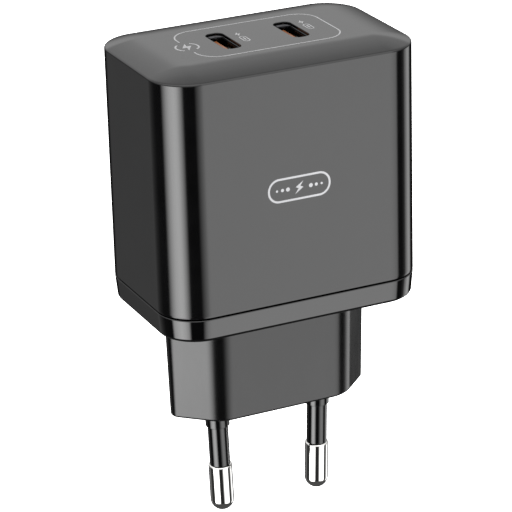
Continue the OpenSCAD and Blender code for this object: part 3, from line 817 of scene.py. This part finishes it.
def sleeved_can(name):
    """A capacitor can in printed shrink sleeve: a pale stripe down one side, small lengthwise ripples all over."""
    n = Nodes(name)
    set_bsdf(n, Metallic=0.0, Coat_Weight=0.4, Coat_Roughness=0.08)
    ax = n.xyz()
    tone = n.noise(200.0, 3.0, 0.5)
    c = n.mix(n.remap(tone, 0.3, 0.7, 0.0, 1.0), (0.010, 0.016, 0.055), (0.016, 0.024, 0.075))
    stripe = n.band(ax["X"], 0.0142 + 0.0036, 0.0009, 0.0002)
    dashes = n.remap(n.math("FRACT", n.math("MULTIPLY", ax["Z"], 1 / (3.2 * MM))), 0.70, 0.74, 1.0, 0.0, smooth=True)
    c = n.mix(n.math("MULTIPLY", stripe, dashes), c, (0.55, 0.56, 0.58))
    n.link(c, n.bsdf.inputs["Base Color"])
    n.link(n.remap(tone, 0.3, 0.7, 0.22, 0.34), n.bsdf.inputs["Roughness"])
    n.link(n.bump(n.noise(420.0, 3.0, 0.6, stretch=(1.0, 1.0, 0.3)), 0.5, 2e-5), n.bsdf.inputs["Normal"])
    return n.m


def dress(finish, *names):
    for name in names:
        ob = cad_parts[name]
        ob = ob if isinstance(ob, bpy.types.Object) else bpy.data.objects[name]
        for slot in ob.material_slots:
            slot.material = finish


def make_inside():
    dress(plain("holder_pbt", ((0.70, 0.68, 0.62), (0.62, 0.60, 0.54), (0.50, 0.48, 0.43)), 0.42, scale=180.0, bump_depth=6e-6), "pin_holder")
    dress(metal("brass_spring", (0.78, 0.57, 0.22), 0.22, 0.06, brushed=(1.0, 6.0, 1.0), tarnish=(0.36, 0.20, 0.07), scratches=0.08),
          "contact_spring_left", "contact_spring_right")
    dress(board("board_flat", "X", "Y"), "port_board")
    dress(board("board_upright", "X", "Z"), "main_board")
    dress(plain("ferrite_ground", ((0.028, 0.028, 0.031), (0.020, 0.020, 0.022), (0.075, 0.075, 0.08)), 0.46, scale=900.0, bump_depth=9e-6), "transformer_core")
    dress(plain("bobbin_phenolic", ((0.012, 0.012, 0.012), (0.008, 0.008, 0.008), (0.03, 0.028, 0.026)), 0.38, scale=260.0, bump_depth=6e-6), "transformer_bobbin")
    dress(winding("wire_fine", (0.70, 0.26, 0.08), "Y", 0.32), "transformer_winding")
    dress(plain("tape_polyester", ((0.80, 0.52, 0.03), (0.72, 0.45, 0.02), (0.88, 0.62, 0.08)), 0.16, scale=140.0, bump_depth=1.2e-5, fine=700.0), "transformer_tape")
    dress(sleeved_can("sleeve_blue"), "bulk_capacitor_cans")
    dress(plain("rubber_bung", ((0.012, 0.012, 0.013), (0.018, 0.018, 0.019), (0.035, 0.034, 0.033)), 0.62, scale=400.0, bump_depth=8e-6), "bulk_capacitor_seals")
    dress(metal("tinned_lead", (0.62, 0.62, 0.61), 0.24, 0.06, brushed=(1.0, 1.0, 5.0), tarnish=(0.30, 0.30, 0.29)), "bulk_capacitor_leads")
    dress(plain("choke_coat", ((0.02, 0.14, 0.06), (0.015, 0.11, 0.045), (0.04, 0.22, 0.10)), 0.44, scale=320.0, bump_depth=1.6e-5, fine=1400.0), "choke_core")
    dress(winding("wire_thick", (0.72, 0.27, 0.08), "Z", 0.8, 0.14), "choke_windings")
    dress(plain("x_box", ((0.66, 0.44, 0.05), (0.60, 0.38, 0.04), (0.52, 0.33, 0.03)), 0.30, scale=160.0, bump_depth=5e-6), "x_capacitor")
    dress(plain("y_disc", ((0.03, 0.15, 0.42), (0.02, 0.11, 0.34), (0.06, 0.22, 0.52)), 0.20, scale=380.0, bump_depth=1.8e-5, fine=900.0), "y_capacitor")
    dress(plain("fuse_case", ((0.10, 0.05, 0.022), (0.075, 0.036, 0.016), (0.16, 0.09, 0.05)), 0.36, scale=300.0, bump_depth=6e-6), "fuse")
    dress(plain("thermistor_dip", ((0.012, 0.13, 0.06), (0.009, 0.095, 0.045), (0.03, 0.20, 0.10)), 0.22, scale=420.0, bump_depth=1.8e-5, fine=1000.0), "thermistor")
    chip = plain("chip_compound", ((0.010, 0.010, 0.011), (0.007, 0.007, 0.008), (0.03, 0.03, 0.031)), 0.44, scale=700.0, bump_depth=7e-6, fine=5200.0)
    dress(chip, "bridge_rectifier", "power_ic", "sync_rectifier", "protocol_ics")
    dress(metal("can_drawn", (0.66, 0.66, 0.67), 0.20, 0.05, brushed=(1.0, 1.0, 7.0), scratches=0.08), "output_capacitors")
    dress(plain("inductor_powder", ((0.040, 0.040, 0.043), (0.030, 0.030, 0.032), (0.09, 0.09, 0.095)), 0.52, scale=800.0, bump_depth=1.4e-5, fine=3600.0), "buck_inductors")
    dress(plain("smd_ceramic", ((0.34, 0.22, 0.10), (0.26, 0.16, 0.07), (0.50, 0.48, 0.45)), 0.40, scale=500.0, bump_depth=5e-6), "smd_parts")
    dress(plain("pad_silicone", ((0.16, 0.26, 0.36), (0.13, 0.22, 0.31), (0.24, 0.34, 0.44)), 0.58, scale=240.0, bump_depth=1.2e-5, fine=1500.0), "thermal_pads")
    dress(metal("spreader_rolled", (0.70, 0.70, 0.71), 0.26, 0.06, brushed=(9.0, 1.0, 1.0), scratches=0.06), "heat_spreader")
    dress(plain("film_sheet", ((0.62, 0.56, 0.42), (0.56, 0.50, 0.36), (0.48, 0.42, 0.30)), 0.34, scale=220.0, bump_depth=8e-6, fine=1200.0), "insulating_sheet")


make_inside()


# ---------------------------------------------------------------------------
# Studio: floor, light, camera
# ---------------------------------------------------------------------------
def make_floor():
    bm = bmesh.new()
    bmesh.ops.create_grid(bm, x_segments=8, y_segments=8, size=8.0)
    bmesh.ops.transform(bm, matrix=Matrix.Translation((0, 0, -0.62)), verts=bm.verts)
    me = bpy.data.meshes.new("studio_floor")
    bm.to_mesh(me)
    bm.free()
    ob = bpy.data.objects.new("studio_floor", me)
    bpy.context.scene.collection.objects.link(ob)
    m = bpy.data.materials.new("floor_pale")
    m.use_nodes = True
    b = m.node_tree.nodes["Principled BSDF"]
    b.inputs["Base Color"].default_value = (0.9, 0.9, 0.9, 1)
    b.inputs["Roughness"].default_value = 0.9
    b.inputs["Emission Color"].default_value = (1, 1, 1, 1)
    b.inputs["Emission Strength"].default_value = 1.0
    me.materials.append(m)
    ob.visible_glossy = False
    ob.visible_diffuse = False
    ob.visible_shadow = False


# brightness of the light cards round the object, below its horizon: (azimuth from the front, brightness);
# the first row is seen by upright walls, the second, lower down, by the drafted ring
CARDS = [
    (-180, 0.015), (-170, 0.015), (-163, 0.16), (-155, 0.31), (-137, 0.15), (-125, 0.05), (-101, 0.03), (-93, 3.2), (-86, 6.0),
    (-76, 8.9), (-64, 10.4), (-56, 9.6), (-46, 5.4), (-36, 0.04), (-7, 0.03), (4, 1.7), (12, 2.9), (17, 3.9), (28, 4.1),
    (38, 3.6), (48, 2.7), (54, 0.04), (68, 0.05), (78, 0.30), (84, 1.5), (96, 2.5), (106, 1.6), (112, 0.03), (128, 0.015),
    (180, 0.015),
]
CARDS_LOW = [
    (-180, 0.015), (-170, 0.015), (-163, 0.20), (-155, 0.33), (-137, 0.15), (-125, 0.05), (-98, 0.03), (-91, 5.4), (-80, 7.4),
    (-68, 8.6), (-56, 7.6), (-46, 5.4), (-39, 0.03), (-4, 0.03), (5, 2.4), (12, 3.6), (20, 4.1), (28, 4.1),
    (38, 3.6), (48, 2.7), (54, 0.04), (68, 0.05), (78, 0.30), (84, 1.5), (96, 2.5), (106, 1.3), (112, 0.03), (128, 0.015),
    (180, 0.015),
]
PEAK = 10.6
# brightness above on the side away from the camera: (height of the direction, brightness)
SKY = [(-0.18, 0.01), (-0.13, 0.05), (-0.05, 0.15), (0.01, 0.24), (0.10, 0.44), (0.16, 0.65), (0.25, 0.95), (0.33, 1.18),
       (0.368, 1.24), (0.40, 1.04), (0.46, 1.02), (0.535, 1.18), (0.67, 1.34), (0.80, 1.26), (1.0, 1.2)]
SKY_FRONT, SKY_LOW, BELOW = 2.6, 1.1, 0.11


def make_world():
    w = bpy.data.worlds.new("studio")
    bpy.context.scene.world = w
    w.use_nodes = True
    t = w.node_tree
    t.nodes.clear()

    def new(kind):
        return t.nodes.new(kind)

    def mth(op, a, b=None, c=None):
        n = new("ShaderNodeMath")
        n.operation = op
        for i, v in enumerate((a, b, c)):
            if v is None:
                continue
            if isinstance(v, (int, float)):
                n.inputs[i].default_value = v
            else:
                t.links.new(v, n.inputs[i])
        return n.outputs[0]

    def ramp(fac, stops, peak):
        r = new("ShaderNodeValToRGB")
        t.links.new(fac, r.inputs["Fac"])
        el = r.color_ramp.elements
        while len(el) > 1:
            el.remove(el[0])
        for i, (pos, v) in enumerate(stops):
            e = el[0] if i == 0 else el.new(pos)
            e.position = pos
            e.color = (v / peak, v / peak, v / peak, 1)
        return mth("MULTIPLY", r.outputs["Color"], peak)

    def rise(value, a, b):
        n = new("ShaderNodeMapRange")
        n.interpolation_type = "SMOOTHSTEP"
        t.links.new(value, n.inputs["Value"])
        n.inputs["From Min"].default_value = a
        n.inputs["From Max"].default_value = b
        return n.outputs["Result"]

    def blend(k, a, b):
        return mth("ADD", mth("MULTIPLY", a, mth("SUBTRACT", 1.0, k)), mth("MULTIPLY", b, k))

    co = new("ShaderNodeTexCoord")
    sep = new("ShaderNodeSeparateXYZ")
    t.links.new(co.outputs["Generated"], sep.inputs[0])
    x, y, z = sep.outputs["X"], sep.outputs["Y"], sep.outputs["Z"]
    az = mth("ARCTAN2", x, mth("MULTIPLY", y, -1.0))
    turn = mth("ADD", mth("DIVIDE", az, 2 * math.pi), 0.5)
    walls, ring = (ramp(turn, [((a + 180) / 360, v) for a, v in row], PEAK) for row in (CARDS, CARDS_LOW))
    low = blend(rise(mth("MULTIPLY", z, -1.0), 0.455, 0.495), walls, ring)
    far = mth("ADD", mth("MULTIPLY", x, 0.4226), mth("MULTIPLY", y, 0.9063))
    over = ramp(mth("DIVIDE", mth("ADD", z, 0.25), 1.25), [((h + 0.25) / 1.25, v) for h, v in SKY], 2.0)
    over = mth("MULTIPLY", over, blend(rise(x, 0.15, 0.38), 1.12, 1.0))
    band = mth("MULTIPLY", rise(x, 0.12, 0.28), mth("SUBTRACT", 1.0, rise(x, 0.52, 0.68)))
    front = blend(rise(z, 0.33, 0.50), blend(band, SKY_LOW, SKY_FRONT), SKY_FRONT + 0.2)
    sky = blend(rise(far, -0.35, 0.25), front, over)
    total = blend(rise(z, -0.20, -0.12), low, sky)
    total = blend(rise(mth("MULTIPLY", z, -1.0), 0.585, 0.68), total, BELOW)
    path = new("ShaderNodeLightPath")
    seen = blend(path.outputs["Is Camera Ray"], total, 1.0)
    bg = new("ShaderNodeBackground")
    bg.inputs["Color"].default_value = (1, 1, 1, 1)
    t.links.new(seen, bg.inputs["Strength"])
    out = new("ShaderNodeOutputWorld")
    t.links.new(bg.outputs[0], out.inputs["Surface"])


def make_camera():
    yaw, pitch, roll = math.radians(-24.8389), math.radians(-21.9563), math.radians(-1.6259)
    fwd = Vector((math.sin(-yaw) * math.cos(pitch), math.cos(-yaw) * math.cos(pitch), math.sin(pitch)))
    right = fwd.cross(Vector((0, 0, 1))).normalized()
    up = right.cross(fwd)
    r2 = right * math.cos(roll) + up * math.sin(roll)
    u2 = -right * math.sin(roll) + up * math.cos(roll)
    cam = bpy.data.objects.new("camera", bpy.data.cameras.new("camera"))
    bpy.context.scene.collection.objects.link(cam)
    rot = Matrix((r2, u2, -fwd)).transposed()
    cam.matrix_world = Matrix.Translation(Vector((-177.2073, -379.9739, 194.0068)) * MM) @ rot.to_4x4()
    cam.data.sensor_width = 36.0
    cam.data.lens = 2767.389 / 512 * 36.0
    cam.data.clip_start, cam.data.clip_end = 0.01, 100.0
    bpy.context.scene.camera = cam


make_floor()
make_world()
make_camera()
scene = bpy.context.scene
scene.view_settings.view_transform = "Standard"
scene.view_settings.look = "None"
scene.view_settings.exposure = 0.0
scene.view_settings.gamma = 1.0
